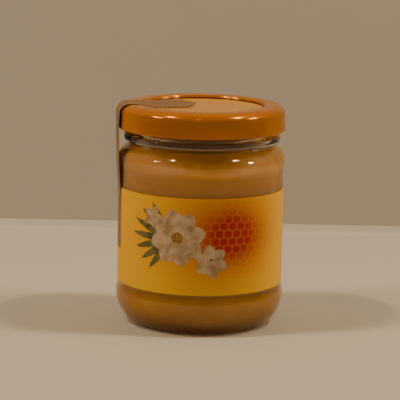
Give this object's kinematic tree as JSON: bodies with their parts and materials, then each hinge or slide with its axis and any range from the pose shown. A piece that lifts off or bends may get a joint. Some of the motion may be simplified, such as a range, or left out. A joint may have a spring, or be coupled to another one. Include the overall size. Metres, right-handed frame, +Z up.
{
  "type": "honey jar",
  "caption": "Glass jar of set honey with a gold twist-off lid, a yellow honeycomb paper label and a paper seal strip over the lid.",
  "frame": {"origin": "on the surface that the jar stands on, at the jar's axis", "axes": "+Z up along the jar's axis, -Y to the front of the label, +X to the right seen from the front"},
  "size_m": [0.0689, 0.068, 0.0895],
  "materials": {
    "jar_glass": "clear soda-lime glass",
    "set_honey": "opaque creamed honey",
    "gold_lacquer": "gold-orange lacquered tinplate",
    "printed_paper": "printed coated paper",
    "plain_paper": "brown paper tape"
  },
  "bodies": {
    "root": {"glass_jar": "jar_glass", "honey": "set_honey", "lid": "gold_lacquer", "label": "printed_paper", "seal_strip": "plain_paper"}
  },
  "joints": []
}
